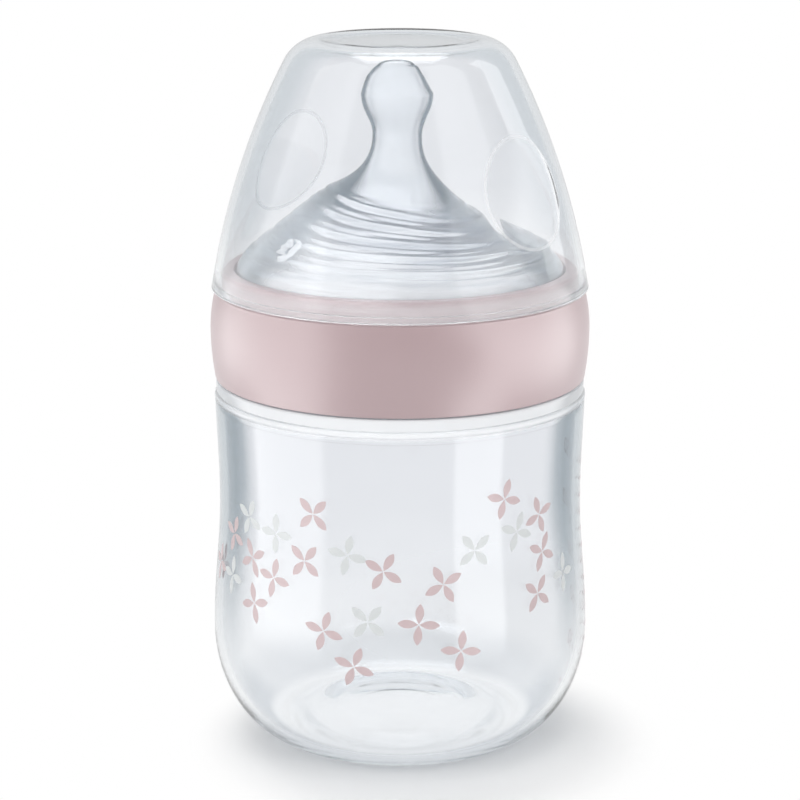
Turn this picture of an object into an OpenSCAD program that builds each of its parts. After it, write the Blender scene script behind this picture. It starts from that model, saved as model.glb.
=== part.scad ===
// Wide-neck baby bottle: clear bottle, screw ring, silicone teat and clear cap.
// Millimetres, +Z up, origin at the centre of the foot, on the surface that the
// bottle stands on. The front of the bottle faces -Y.

/* [Bottle] */
// Radius of the wall just under the shoulder
bottle_radius = 33.6; // [28:0.1:41]
// Height of the ledge that the screw ring closes on
shoulder_height = 66.9; // [55:0.1:82]
// How far the belly stands out past the wall under the shoulder
belly_swell = 0.8; // [0.3:0.1:2]
// Height of the widest part of the belly
belly_height = 19.8; // [15:0.1:26]
// How far the waist is drawn in from the wall under the shoulder
waist_inset = 0.6; // [0.2:0.1:2]
// Height of the waist
waist_height = 45.4; // [34:0.1:50]
// Thickness of the side wall
bottle_wall = 1.5; // [1.1:0.1:2.2]
// Thickness of the base
base_wall = 1.8; // [1.3:0.1:2.6]
// How far the foot lies inside the wall under the shoulder
foot_inset = 10.7; // [8:0.1:13]
// Width of the ring that the bottle stands on
foot_width = 1.8; // [1:0.1:2.6]
// Rise of the base inside the foot
base_rise = 2.7; // [2:0.1:4.4]

/* [Neck and thread] */
// Width of the shoulder ledge, from the wall to the neck
shoulder_step = 3.7; // [3.4:0.1:5.4]
// Thickness of the neck wall
neck_wall = 1.8; // [1.3:0.1:2.6]
// Height of the neck above the shoulder ledge
neck_height = 17.8; // [15:0.1:23]
// Rise of the thread for one turn
thread_pitch = 4.5; // [3.8:0.1:5.4]
// Turns of thread on the neck and in the ring
thread_turns = 1.2; // [0.8:0.1:1.4]
// How far the thread stands out of the neck
thread_depth = 1.3; // [1:0.1:1.6]
// Free space between two round faces that turn in each other
turning_gap = 0.35; // [0.25:0.05:0.5]

/* [Screw ring] */
// Thickness of the ring's wall at its widest part
ring_wall = 2.6; // [2.1:0.1:3.6]
// How far the ring narrows from its widest part to its lower edge
ring_foot_inset = 0.7; // [0.2:0.1:1.1]
// How far the ring narrows from its widest part to its upper edge
ring_top_inset = 0.9; // [0.4:0.1:1.1]
// Height of the widest part above the ring's lower edge
ring_belly_height = 8.7; // [6:0.1:10]
// Height of the collar above the ledge that the cap stands on
collar_height = 3.7; // [2.8:0.1:4.6]
// Thickness of the collar's wall
collar_wall = 1.0; // [0.8:0.1:1.5]
// Thickness of the lip that holds the teat down
lip_thickness = 1.1; // [0.8:0.1:1.8]
// Free space between the ring's lower edge and the shoulder ledge
ring_gap = 0.3; // [0.2:0.1:0.9]

/* [Teat] */
// Thickness of the flange between the neck's rim and the lip
flange_thickness = 1.1; // [0.8:0.1:1.8]
// Height of the teat above the neck's rim
teat_height = 40.2; // [34:0.1:50]
// Thickness of the silicone
teat_wall = 1.2; // [0.9:0.1:1.8]
// Rise of the wide ridged dome
dome_rise = 12; // [9:0.1:14.5]
// Radius where the dome runs into the nipple
crown_radius = 13; // [10:0.1:16]
// Length of the nipple above its slim neck
nipple_length = 15; // [12.5:0.1:18]
// Radius of the nipple's slim neck
nipple_neck_radius = 4.4; // [4:0.1:5.4]
// Largest half width of the nipple
nipple_radius = 6.4; // [5.4:0.1:8]
// Share of its width that the nipple is thick
nipple_flatness = 0.84; // [0.8:0.01:1]
// Radius of the feed hole
feed_hole_radius = 0.4; // [0.3:0.1:0.9]

/* [Cap] */
// Free height between the nipple and the cap's top
cap_headroom = 1.0; // [1:0.1:5.5]
// Thickness of the cap's wall
cap_wall = 1.2; // [1:0.1:1.8]
// Free space around the collar inside the cap
cap_fit = 0.8; // [0.5:0.1:1.4]
// Radius of the side's curve, seen from the side
side_curve = 134; // [115:1:180]
// Depth below the rim of the side curve's centre
side_centre_drop = 21.3; // [14:0.1:27]
// Radius of the rounded edge around the cap's top
edge_radius = 7.2; // [4.5:0.1:8]
// Depth of the shallow dish in the cap's top
dish_depth = 0.6; // [0.3:0.1:1]
// Height of the thick band at the cap's rim
rim_band = 1.2; // [0.9:0.1:2.2]
// Direction of the first thumb hollow, from the front towards +X
thumb_angle = 49; // [0:1:90]
// Height of the thumb hollows above the cap's rim
thumb_height = 20; // [17:0.1:23.5]
// Depth of the thumb hollows
thumb_depth = 1.4; // [0.8:0.1:1.8]
// Radius of each thumb hollow's floor, seen from the side
thumb_curve = 45; // [36:1:54]

/* [Hidden] */

$fn = 120;
steps = 12;                // parts along each curve of an outline
seat_gap = 0.1;            // between flat faces that rest on each other
root = 0.45;               // how far a thread reaches into its wall
overlap = 0.225;           // how far the lip and the flange each pass the neck's outside

// Heights of the stack, from the foot up
rim_height = shoulder_height + neck_height;
lip_bottom = rim_height + flange_thickness + seat_gap;
collar_top = lip_bottom + lip_thickness;
ledge_height = collar_top - collar_height;
ring_bottom = shoulder_height + ring_gap;
cap_bottom = ledge_height + seat_gap;
teat_top = rim_height + teat_height;
cap_top = teat_top + cap_headroom + cap_wall + dish_depth;

// Radii, from the wall in to the neck and out again to the cap
belly_radius = bottle_radius + belly_swell;
waist_radius = bottle_radius - waist_inset;
foot_radius = bottle_radius - foot_inset;
neck_radius = bottle_radius - shoulder_step;
neck_bore = neck_radius - neck_wall;
thread_radius = neck_radius + thread_depth;
ring_bore = thread_radius + turning_gap;
ring_radius = ring_bore + ring_wall;
collar_bore = neck_radius + 2 * turning_gap;
collar_radius = collar_bore + collar_wall + overlap;
lip_radius = neck_radius - overlap;
dome_radius = lip_radius - turning_gap;
flange_radius = neck_radius + overlap;
cap_radius = collar_radius + cap_fit + cap_wall;

// Heel of the bottle: a quarter of an ellipse that the table cuts at the foot
heel_reach = 3;
heel_centre = foot_radius - heel_reach;
heel_width = belly_radius - heel_centre;
heel_depth = belly_height / sin(acos((foot_radius - heel_centre) / heel_width));

// Shoulder of the bottle
shoulder_run = 22;         // height over which the waist widens again
shoulder_round = 0.8;
shoulder_arc = 75;         // degrees that the rounding turns
band_height = 2.3;         // clear band between the wall and the ledge
band_inset = 0.3;
band_round = 0.5;
wall_top = shoulder_height - band_height - shoulder_round;

// Base of the bottle
base_disc_radius = 12.5;
base_edge = 1.4;           // rise at the inner side of the foot
disc_step = 0.3;

// Edges and bore of the screw ring
ring_edge = 0.5;
bore_step = 1.2;           // depth below the ledge at which the bore widens

// Trapezium of the thread, and where it starts above the shoulder ledge
thread_base = 2.4;
thread_crest = 1.0;
thread_start = 7.8;
thread_side_gap = (thread_base + thread_crest) / 2 + turning_gap;
turn_steps = 40;           // parts in one turn of thread
thread_fade = 4;           // parts over which a thread's end sinks away

// Pulls on the curves of the teat's outline, from the dome's foot up to the nipple's widest part
teat_sides = 36;
teat_parts = 8;            // parts along each curve
foot_pull = [-0.9, 3.2];
crown_pull_low = [8.5, -5.7];
crown_pull_high = [-3.6, 2.4];
slim_pull_low = 5.4;
slim_pull_high = [-0.2, 3.2];
wide_pull = 3.4;
tip_share = 0.48;          // share of the nipple's length that lies above its widest part

// Bars that press the thumb hollows
bar_length = 40;

cut = 1;                   // how far a cutting solid passes the face it cuts
hole_sides = 12;

// Side and edge of the cap
side_run = sqrt(pow(side_curve, 2) - pow(side_centre_drop, 2));
side_centre = [cap_radius - side_run, cap_bottom - side_centre_drop];
edge_height = cap_top - edge_radius - side_centre[1];
edge_centre = side_centre + [sqrt(pow(side_curve - edge_radius, 2) - pow(edge_height, 2)), edge_height];
edge_start = atan2(edge_height, edge_centre[0] - side_centre[0]);

// Curves of an outline
function arc(centre, radius, from, to) =
    [for (i = [0 : steps]) let (a = from + (to - from) * i / steps) centre + radius * [cos(a), sin(a)]];
function curve(a, b, c, d, parts = steps) =
    [for (i = [0 : parts]) let (t = i / parts, s = 1 - t)
        s * s * s * a + 3 * s * s * t * b + 3 * s * t * t * c + t * t * t * d];
function wave(from, to, t) = from + (to - from) * (1 - cos(180 * t)) / 2;
function reverse(points) = [for (i = [len(points) - 1 : -1 : 0]) points[i]];

// Radius of the bottle's wall above the belly
function wall_radius(z) = z < waist_height
    ? wave(belly_radius, waist_radius, (z - belly_height) / (waist_height - belly_height))
    : wave(waist_radius, bottle_radius, min(1, (z - waist_height) / shoulder_run));

// Heel from the foot to the belly, and wall from the belly to the shoulder
function heel(start_radius, wall, floor) =
    let (width = heel_width - wall, depth = heel_depth - floor,
         start = acos((start_radius - heel_centre) / width))
    [for (i = [0 : steps]) let (a = -start * (1 - i / steps))
        [heel_centre + width * cos(a), belly_height + depth * sin(a)]];
function wall(thickness, top) =
    [for (i = [1 : 2 * steps]) let (z = belly_height + (top - belly_height) * i / (2 * steps))
        [wall_radius(z) - thickness, z]];

// Ridge of trapezium section that climbs thread_turns from start_height, between two radii.
// base_inside tells whether its broad side is the inner one.
module thread_ridge(inner, outer, start_height, base_inside) {
    parts = round(thread_turns * turn_steps);
    inner_half = (base_inside ? thread_base : thread_crest) / 2;
    outer_half = (base_inside ? thread_crest : thread_base) / 2;
    sunk = outer - inner - root / 2;
    points = [for (i = [0 : parts])
        let (a = 360 * i / turn_steps, z = start_height + thread_pitch * i / turn_steps,
             fade = sunk * (1 - min(1, min(i, parts - i) / thread_fade)),
             low = base_inside ? inner : inner + fade,
             high = base_inside ? outer - fade : outer)
        for (q = [[low, -inner_half], [high, -outer_half], [high, outer_half], [low, inner_half]])
            [q[0] * cos(a), q[0] * sin(a), z + q[1]]];
    faces = concat(
        [[3, 2, 1, 0]],
        [for (i = [0 : parts - 1], k = [0 : 3]) let (n = (k + 1) % 4)
            [4 * i + n, 4 * i + 4 + n, 4 * i + 4 + k, 4 * i + k]],
        [[4 * parts, 4 * parts + 1, 4 * parts + 2, 4 * parts + 3]]);
    polyhedron(points, faces);
}

module bottle_shell() {
    foot_inner = foot_radius - foot_width;
    inner_top = wall_top - bottle_wall;
    inner_radius = bottle_radius - bottle_wall;
    band_radius = bottle_radius - band_inset;
    rotate_extrude() polygon(concat(
        [[0, base_rise], [base_disc_radius, base_rise],
         [base_disc_radius + disc_step, base_rise - disc_step], [foot_inner - base_edge, base_edge]],
        [[foot_inner, 0]],
        heel(foot_radius, 0, 0),
        wall(0, wall_top),
        arc([bottle_radius - shoulder_round, wall_top], shoulder_round, 0, shoulder_arc),
        arc([band_radius - band_round, shoulder_height - band_round], band_round, 0, 90),
        [[neck_radius, shoulder_height], [neck_radius, rim_height], [neck_bore, rim_height]],
        reverse(curve([inner_radius, inner_top], [inner_radius, inner_top + 2 * bottle_wall],
                      [neck_bore, inner_top + bottle_wall], [neck_bore, shoulder_height])),
        reverse(wall(bottle_wall, inner_top)),
        reverse(heel(foot_radius - foot_width / 2, bottle_wall, base_wall)),
        [[foot_inner - base_edge + disc_step, base_edge + base_wall],
         [base_disc_radius, base_rise + base_wall], [0, base_rise + base_wall]]));
}

module bottle_body() {
    color("aliceblue", 0.5) union() {
        bottle_shell();
        thread_ridge(neck_radius - root, thread_radius, shoulder_height + thread_start, true);
    }
}

module screw_ring() {
    belly = ring_bottom + ring_belly_height;
    barrel = concat(
        [for (i = [0 : steps]) let (t = i / steps)
            [ring_radius - ring_foot_inset * pow(1 - t, 2),
             ring_bottom + ring_edge / 2 + (ring_belly_height - ring_edge / 2) * t]],
        [for (i = [1 : steps]) let (t = i / steps)
            [ring_radius - ring_top_inset * t * t, belly + (ledge_height - ring_edge - belly) * t]]);
    step_height = ledge_height - bore_step;
    color([0.87, 0.77, 0.76]) union() {
        rotate_extrude() polygon(concat(
            [[ring_bore, ring_bottom], [ring_radius - ring_foot_inset - ring_edge / 2, ring_bottom]],
            barrel,
            [[ring_radius - ring_top_inset - ring_edge, ledge_height], [collar_radius, ledge_height]],
            arc([collar_radius - ring_edge, collar_top - ring_edge], ring_edge, 0, 90),
            [[lip_radius, collar_top], [lip_radius, lip_bottom]],
            [[collar_bore, lip_bottom], [collar_bore, step_height]],
            [[ring_bore, step_height - ring_bore + collar_bore]]));
        thread_ridge(neck_radius + turning_gap, ring_bore + root,
                     shoulder_height + thread_start - thread_side_gap, false);
    }
}

// Teat: rings of points on a stack of ovals. Each ring is [radius, height];
// above the dome the ovals flatten from front to back.
module oval_stack(rings) {
    sides = teat_sides;
    count = len(rings);
    dome_top = rim_height + dome_rise;
    points = [for (p = rings)
        let (t = max(0, min(1, (p[1] - dome_top) / (teat_top - nipple_length / 2 - dome_top))),
             flat = 1 - (1 - nipple_flatness) * t)
        for (i = [0 : sides - 1]) let (a = 360 * i / sides)
            [p[0] * cos(a), p[0] * flat * sin(a), p[1]]];
    faces = concat(
        [[for (i = [0 : sides - 1]) i]],
        [for (k = [0 : count - 2], i = [0 : sides - 1]) let (n = (i + 1) % sides)
            [k * sides + i, (k + 1) * sides + i, (k + 1) * sides + n, k * sides + n]],
        [[for (i = [sides - 1 : -1 : 0]) (count - 1) * sides + i]]);
    polyhedron(points, faces);
}

// Outline of the teat above its flange, moved inwards by a wall's thickness
function teat_outline(inset) =
    let (parts = teat_parts,
         base = [dome_radius - inset, collar_top - inset],
         crown = [crown_radius - inset / 2, collar_top + dome_rise - inset],
         slim = [nipple_neck_radius - inset, teat_top - nipple_length],
         wide = [nipple_radius - inset, teat_top - tip_share * nipple_length],
         top = teat_top - inset)
    concat(
        curve(base, base + foot_pull, crown + crown_pull_low, crown, parts),
        curve(crown, crown + crown_pull_high, slim - [0, slim_pull_low], slim, parts),
        curve(slim, slim + slim_pull_high, wide - [0, wide_pull], wide, parts),
        [for (i = [1 : parts - 1]) let (a = 90 * i / parts)
            [wide[0] * cos(a), wide[1] + (top - wide[1]) * sin(a)]]);

module teat() {
    flange_top = rim_height + flange_thickness;
    color("white", 0.6) difference() {
        oval_stack(concat(
            [[flange_radius, rim_height], [flange_radius, flange_top], [dome_radius, flange_top]],
            teat_outline(0)));
        oval_stack(concat([[dome_radius - teat_wall, rim_height - cut]], teat_outline(teat_wall)));
        translate([0, 0, teat_top - 3 * teat_wall])
            cylinder(h = 4 * teat_wall, r = feed_hole_radius, $fn = hole_sides);
    }
}

// Outline of the cap's side, edge and dished top, moved inwards by inset
function cap_outline(inset) =
    let (start = asin((cap_bottom - side_centre[1]) / (side_curve - inset)))
    concat(
        arc(side_centre, side_curve - inset, start, edge_start),
        arc(edge_centre, edge_radius - inset, edge_start, 90),
        [[edge_centre[0] - dish_depth / 2, cap_top - dish_depth - inset],
         [0, cap_top - dish_depth - inset]]);

// Long round bars that press the two thumb hollows into the cap's side
module thumb_bars(radius) {
    height = cap_bottom + thumb_height;
    slope = asin((height - side_centre[1]) / side_curve);
    reach = thumb_curve - thumb_depth;
    for (turn = [0, 180]) rotate([0, 0, thumb_angle + turn])
        translate([0, -side_centre[0] - (side_curve + reach) * cos(slope), height + reach * sin(slope)])
            rotate([0, 90, 0]) cylinder(h = bar_length, r = radius, center = true);
}

module protective_cap() {
    rim_inner = collar_radius + turning_gap;
    color("aliceblue", 0.4) difference() {
        union() {
            rotate_extrude() polygon(concat(
                cap_outline(0),
                reverse(cap_outline(cap_wall)),
                [[rim_inner, cap_bottom + rim_band], [rim_inner, cap_bottom]]));
            intersection() {
                rotate_extrude() polygon(concat([[0, cap_bottom]], cap_outline(0)));
                thumb_bars(thumb_curve + cap_wall);
            }
        }
        thumb_bars(thumb_curve);
    }
}

bottle_body();
screw_ring();
teat();
protective_cap();
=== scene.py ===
"""Wide-neck baby bottle: clear bottle, screw ring, silicone teat, clear cap, printed blossoms and a scale.

Outlines are in millimetres, as (radius, height) from the axis and the foot, and meshes are in metres. An
angle is in degrees from +X, anticlockwise from above, unless it is said to count from the front. The front of
the bottle is at 270 degrees and faces -Y.
"""

import math
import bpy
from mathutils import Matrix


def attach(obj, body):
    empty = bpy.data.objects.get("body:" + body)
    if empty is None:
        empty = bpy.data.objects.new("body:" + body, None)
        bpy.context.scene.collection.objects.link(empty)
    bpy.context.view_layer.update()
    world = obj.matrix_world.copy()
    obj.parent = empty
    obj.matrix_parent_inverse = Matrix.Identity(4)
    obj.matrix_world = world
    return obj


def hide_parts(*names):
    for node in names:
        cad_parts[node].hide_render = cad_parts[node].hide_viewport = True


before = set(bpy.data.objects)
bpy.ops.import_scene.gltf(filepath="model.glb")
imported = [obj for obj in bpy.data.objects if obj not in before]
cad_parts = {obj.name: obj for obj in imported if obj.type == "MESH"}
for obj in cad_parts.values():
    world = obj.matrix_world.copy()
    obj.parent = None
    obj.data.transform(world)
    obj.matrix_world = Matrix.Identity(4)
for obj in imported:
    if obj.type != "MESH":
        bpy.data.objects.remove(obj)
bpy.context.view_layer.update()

from types import SimpleNamespace

import bmesh
import bpy
from bpy.props import FloatProperty, FloatVectorProperty, IntProperty, PointerProperty
from mathutils import Vector

bl_info = {
    "name": "Wide-neck baby bottle",
    "version": (1, 0, 0),
    "blender": (4, 5, 0),
    "location": "3D View > Sidebar > Baby bottle",
    "description": "Builds a clear baby bottle with its screw ring, silicone teat, cap and print",
    "category": "Object",
}

MILLIMETRE = 0.001
FRONT = 270.0
# Turns over which each end of a thread dies away, and share of the nipple above its widest part
THREAD_RUN_OUT = 0.1
NIPPLE_HEAD = 0.48
# Difference that counts as none, and distance under which points of the print are merged, in millimetres
NOTHING = 1e-6
WELD = 0.002

# ---------------------------------------------------------------- sizes and colours


def length(label, about, millimetres):
    size = millimetres * MILLIMETRE
    return FloatProperty(name=label, description=about, default=size, unit="LENGTH", precision=5)


def angle(label, about, degrees):
    return FloatProperty(name=label, description=about, default=math.radians(degrees), unit="ROTATION")


def share(label, about, value):
    return FloatProperty(name=label, description=about, default=value, subtype="FACTOR", min=0, max=1)


def number(label, about, value):
    return FloatProperty(name=label, description=about, default=value)


def count(label, about, value, least):
    return IntProperty(name=label, description=about, default=value, min=least)


def colour(label, about, value):
    return FloatVectorProperty(name=label, description=about, default=value, subtype="COLOR", min=0, max=1)


class BottleSizes(bpy.types.PropertyGroup):
    """Sizes of the clear bottle with its neck and thread."""

    bottle_radius: length("Radius", "Radius of the wall just under the shoulder", 33.6)
    shoulder_height: length("Shoulder height", "Height of the ledge that the screw ring closes on", 66.9)
    belly_swell: length("Belly swell", "How far the belly stands out past the wall under the shoulder", 0.8)
    belly_height: length("Belly height", "Height of the widest part of the belly", 19.8)
    waist_inset: length("Waist inset", "How far the waist is drawn in", 0.6)
    waist_height: length("Waist height", "Height of the waist", 45.4)
    shoulder_run: length("Shoulder run", "Height over which the waist widens again", 22)
    bottle_wall: length("Wall", "Thickness of the side wall", 1.5)
    base_wall: length("Base wall", "Thickness of the base", 1.8)
    foot_inset: length("Foot inset", "How far the foot lies inside the wall under the shoulder", 10.7)
    foot_width: length("Foot width", "Width of the ring that the bottle stands on", 1.8)
    heel_reach: length("Heel reach", "How far the centre of the heel's curve lies inside the foot", 3)
    base_rise: length("Base rise", "Rise of the base inside the foot", 2.7)
    base_disc_radius: length("Base disc", "Radius of the flat disc in the base", 12.5)
    shoulder_step: length("Shoulder step", "Width of the shoulder ledge", 3.7)
    shoulder_round: length("Shoulder rounding", "Radius of the rounded top of the wall", 0.8)
    band_height: length("Band height", "Height of the clear band under the ledge", 2.3)
    band_inset: length("Band inset", "How far the clear band lies inside the wall", 0.3)
    neck_wall: length("Neck wall", "Thickness of the neck wall", 1.8)
    neck_height: length("Neck height", "Height of the neck above the ledge", 17.8)
    thread_pitch: length("Thread pitch", "Rise of the thread for one turn", 4.5)
    thread_turns: number("Thread turns", "Turns of thread on the neck and in the ring", 1.2)
    thread_depth: length("Thread depth", "How far the thread stands out of the neck", 1.3)
    thread_base: length("Thread base", "Width of the thread at its root", 2.4)
    thread_crest: length("Thread crest", "Width of the thread at its crest", 1.0)
    thread_start: length("Thread start", "Height of the thread's lower end above the ledge", 7.8)
    turning_gap: length("Turning gap", "Free space between faces that turn in each other", 0.35)


class RingSizes(bpy.types.PropertyGroup):
    """Sizes of the screw ring."""

    ring_wall: length("Wall", "Thickness of the ring's wall at its widest part", 2.6)
    ring_foot_inset: length("Foot inset", "How far the ring narrows to its lower edge", 0.7)
    ring_top_inset: length("Top inset", "How far the ring narrows to its upper edge", 0.9)
    ring_belly_height: length("Belly height", "Height of the widest part above the lower edge", 8.7)
    ring_gap: length("Gap", "Free space between the ring and the shoulder ledge", 0.3)
    ring_edge: length("Edge", "Radius of the ring's rounded edges", 0.5)
    collar_height: length("Collar height", "Height of the collar above the ledge that the cap stands on", 3.7)
    collar_wall: length("Collar wall", "Thickness of the collar's wall", 1.0)
    lip_thickness: length("Lip", "Thickness of the lip that holds the teat down", 1.1)
    bore_step: length("Bore step", "Depth below the ledge at which the bore widens", 1.2)
    seat_gap: length("Seat gap", "Free space between flat faces that rest on each other", 0.1)
    overlap: length("Overlap", "How far the lip and the flange each pass the neck's outside", 0.225)


class TeatSizes(bpy.types.PropertyGroup):
    """Sizes of the silicone teat."""

    flange_thickness: length("Flange", "Thickness of the flange between the rim and the lip", 1.1)
    teat_height: length("Height", "Height of the teat above the neck's rim", 40.2)
    teat_wall: length("Wall", "Thickness of the silicone", 1.2)
    dome_rise: length("Dome rise", "Rise of the wide ridged dome", 12)
    crown_radius: length("Crown radius", "Radius where the dome runs into the nipple", 13)
    nipple_length: length("Nipple length", "Length of the nipple above its slim neck", 15)
    nipple_neck_radius: length("Nipple neck", "Radius of the nipple's slim neck", 4.4)
    nipple_radius: length("Nipple radius", "Largest half width of the nipple", 6.4)
    nipple_flatness: share("Flatness", "Share of its width that the nipple is thick", 0.84)
    feed_hole_radius: length("Feed hole", "Radius of the feed hole", 0.4)
    dome_lean: length("Lean", "How much higher than its middle the dome's left side stands", 2.05)
    ridge_pitch: length("Ridge pitch", "Distance from ridge to ridge along the dome", 3.7)
    ridge_height: length("Ridge height", "Height of the dome's wavy ridges", 0.3)
    valve_angle: angle("Valve direction", "Direction of the air valve from the front, to the left", 53.7)
    valve_radius: length("Valve place", "Distance of the air valve from the axis", 24)


class CapSizes(bpy.types.PropertyGroup):
    """Sizes of the clear cap."""

    cap_headroom: length("Headroom", "Free height between the nipple and the cap's top", 1.0)
    cap_wall: length("Wall", "Thickness of the cap's wall", 1.2)
    cap_fit: length("Fit", "Free space around the collar", 0.8)
    side_curve: length("Side curve", "Radius of the side's curve, seen from the side", 134)
    side_centre_drop: length("Side centre", "Depth below the rim of the side curve's centre", 21.3)
    edge_radius: length("Edge", "Radius of the rounded edge around the top", 7.2)
    dish_depth: length("Dish", "Depth of the shallow dish in the top", 0.6)
    rim_band: length("Rim band", "Height of the thick band at the rim", 1.2)
    thumb_angle: angle("Thumb hollow", "Direction of the first thumb hollow, from the front towards +X", 49)
    thumb_height: length("Hollow height", "Height of the thumb hollows above the rim", 20)
    thumb_depth: length("Hollow depth", "Depth of the thumb hollows", 1.4)
    thumb_curve: length("Hollow curve", "Radius of each thumb hollow's floor, seen from the side", 45)
    thumb_round: length("Hollow edge", "Softness of the edge around each thumb hollow", 0.3)


class PrintSizes(bpy.types.PropertyGroup):
    """Sizes of the printed blossoms and the scale."""

    petal_length: length("Petal length", "Length of one petal", 3.7)
    petal_width: length("Petal width", "Largest width of one petal", 1.55)
    ink_thickness: length("Ink", "Thickness of the ink", 0.05)
    ink_sunk: length("Sunk ink", "How much of the ink's thickness lies in the wall", 0.035)
    scale_angle: angle("Scale direction", "Direction of the scale from the front, towards +X", 81)
    mark_step: count("Marks", "Millilitres from one number to the next", 30, 10)
    mark_count: count("Numbers", "How many numbers the scale has", 5, 1)
    digit_height: length("Digits", "Height of the numbers", 3.1)


class Finishes(bpy.types.PropertyGroup):
    """Colours and finishes."""

    clear_depth: colour("Clear plastic", "Colour that thick clear plastic takes on", (0.60, 0.66, 0.70))
    clear_density: number("Plastic depth", "Strength of that colour, for each metre of plastic", 20.0)
    silicone_depth: colour("Silicone", "Colour that thick silicone takes on", (0.62, 0.67, 0.70))
    silicone_density: number("Silicone depth", "Strength of that colour, for each metre of silicone", 25.0)
    dome_haze: share("Dome haze", "How milky the teat's matt dome is", 0.42)
    nipple_haze: share("Nipple haze", "How milky the teat's nipple is", 0.42)
    ring_pink: colour("Ring", "Colour of the screw ring", (0.385, 0.275, 0.287))
    print_pink: colour("Pink print", "Colour of the pink blossoms", (0.55, 0.425, 0.435))
    print_pale: colour("Pale print", "Colour of the pale blossoms", (0.61, 0.635, 0.64))


class StudioSettings(bpy.types.PropertyGroup):
    """Camera, softboxes and floor."""

    camera_distance: length("Camera distance", "Level distance from the camera to the bottle's axis", 447.1)
    camera_height: length("Camera height", "Height of the camera above the floor", 178.0)
    camera_pitch: angle("Camera pitch", "How far the camera looks down", 14.56)
    camera_lens: length("Lens", "Focal length of the camera", 114.17)
    box_brightness: number("Softboxes", "Brightness of the softboxes, where 1 is white", 2.0)
    card_brightness: number("Cards", "Brightness of the cards that only show in gloss, where 1 is white", 4.0)
    fill_brightness: number("Fill", "Brightness of the room, where 1 is white", 0.42)
    floor_shade: share("Floor", "Reflectance of the pale floor", 0.9)


PIECE_SIZES = {"bottle_sizes": BottleSizes, "ring_sizes": RingSizes, "teat_sizes": TeatSizes,
               "cap_sizes": CapSizes, "print_sizes": PrintSizes}
SIZE_GROUPS = {**PIECE_SIZES, "finishes": Finishes, "studio_settings": StudioSettings}


def keys_of(group):
    return [key for key in group.bl_rna.properties.keys() if key not in ("rna_type", "name")]


def plain_number(value, unit):
    """A length in millimetres, an angle in degrees, and anything else as it is."""
    if unit == "LENGTH":
        return value / MILLIMETRE
    if unit == "ROTATION":
        return math.degrees(value)
    return value


def measures(scene):
    """All sizes in millimetres and degrees, with the heights and radii that follow from them."""
    m = SimpleNamespace()
    for name in PIECE_SIZES:
        group = getattr(scene, name)
        for key in keys_of(group):
            setattr(m, key, plain_number(getattr(group, key), group.bl_rna.properties[key].unit))
    m.rim_height = m.shoulder_height + m.neck_height
    m.lip_bottom = m.rim_height + m.flange_thickness + m.seat_gap
    m.collar_top = m.lip_bottom + m.lip_thickness
    m.ledge_height = m.collar_top - m.collar_height
    m.ring_bottom = m.shoulder_height + m.ring_gap
    m.cap_bottom = m.ledge_height + m.seat_gap
    m.teat_top = m.rim_height + m.teat_height
    m.wide_height = m.teat_top - NIPPLE_HEAD * m.nipple_length
    m.cap_top = m.teat_top + m.cap_headroom + m.cap_wall + m.dish_depth
    m.belly_radius = m.bottle_radius + m.belly_swell
    m.waist_radius = m.bottle_radius - m.waist_inset
    m.foot_radius = m.bottle_radius - m.foot_inset
    m.neck_radius = m.bottle_radius - m.shoulder_step
    m.neck_bore = m.neck_radius - m.neck_wall
    m.ring_bore = m.neck_radius + m.thread_depth + m.turning_gap
    m.ring_radius = m.ring_bore + m.ring_wall
    m.collar_bore = m.neck_radius + 2 * m.turning_gap
    m.collar_radius = m.collar_bore + m.collar_wall + m.overlap
    m.lip_radius = m.neck_radius - m.overlap
    m.dome_radius = m.lip_radius - m.turning_gap
    m.flange_radius = m.neck_radius + m.overlap
    m.cap_radius = m.collar_radius + m.cap_fit + m.cap_wall
    m.heel_centre = m.foot_radius - m.heel_reach
    m.heel_width = m.belly_radius - m.heel_centre
    m.heel_depth = m.belly_height / math.sin(math.acos(m.heel_reach / m.heel_width))
    m.wall_top = m.shoulder_height - m.band_height - m.shoulder_round
    side_x = m.cap_radius - math.sqrt(m.side_curve**2 - m.side_centre_drop**2)
    m.side_centre = (side_x, m.cap_bottom - m.side_centre_drop)
    rise = m.cap_top - m.edge_radius - m.side_centre[1]
    run = math.sqrt((m.side_curve - m.edge_radius) ** 2 - rise**2)
    m.edge_centre = (side_x + run, m.side_centre[1] + rise)
    m.edge_start = math.degrees(math.atan2(rise, run))
    return m


# ---------------------------------------------------------------- outlines


def arc(centre, radius, start, end, steps=12):
    turns = [math.radians(start + (end - start) * i / steps) for i in range(steps + 1)]
    return [(centre[0] + radius * math.cos(a), centre[1] + radius * math.sin(a)) for a in turns]


def curve(a, b, c, d, steps=24):
    """Points of the cubic curve from a to d that b and c pull."""
    points = []
    for i in range(steps + 1):
        t = i / steps
        s = 1 - t
        shares = (s**3, 3 * s * s * t, 3 * s * t * t, t**3)
        points.append(tuple(sum(w * p[k] for w, p in zip(shares, (a, b, c, d))) for k in (0, 1)))
    return points


def wave(low, high, t):
    return low + (high - low) * (1 - math.cos(math.pi * t)) / 2


def clamp(value):
    return max(0.0, min(1.0, value))


def smooth(t):
    t = clamp(t)
    return t * t * (3 - 2 * t)


def soft_min(a, b, softness):
    """The lesser of a and b, rounded off where they meet."""
    blend = clamp(0.5 + (b - a) / (2 * softness))
    return b + (a - b) * blend - softness * blend * (1 - blend)


def fine(points, step):
    """The same outline with no part longer than step."""
    result = [points[0]]
    for a, b in zip(points, points[1:]):
        parts = max(1, math.ceil(math.dist(a, b) / step))
        for i in range(1, parts + 1):
            t = i / parts
            result.append((a[0] + (b[0] - a[0]) * t, a[1] + (b[1] - a[1]) * t))
    return result


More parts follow.
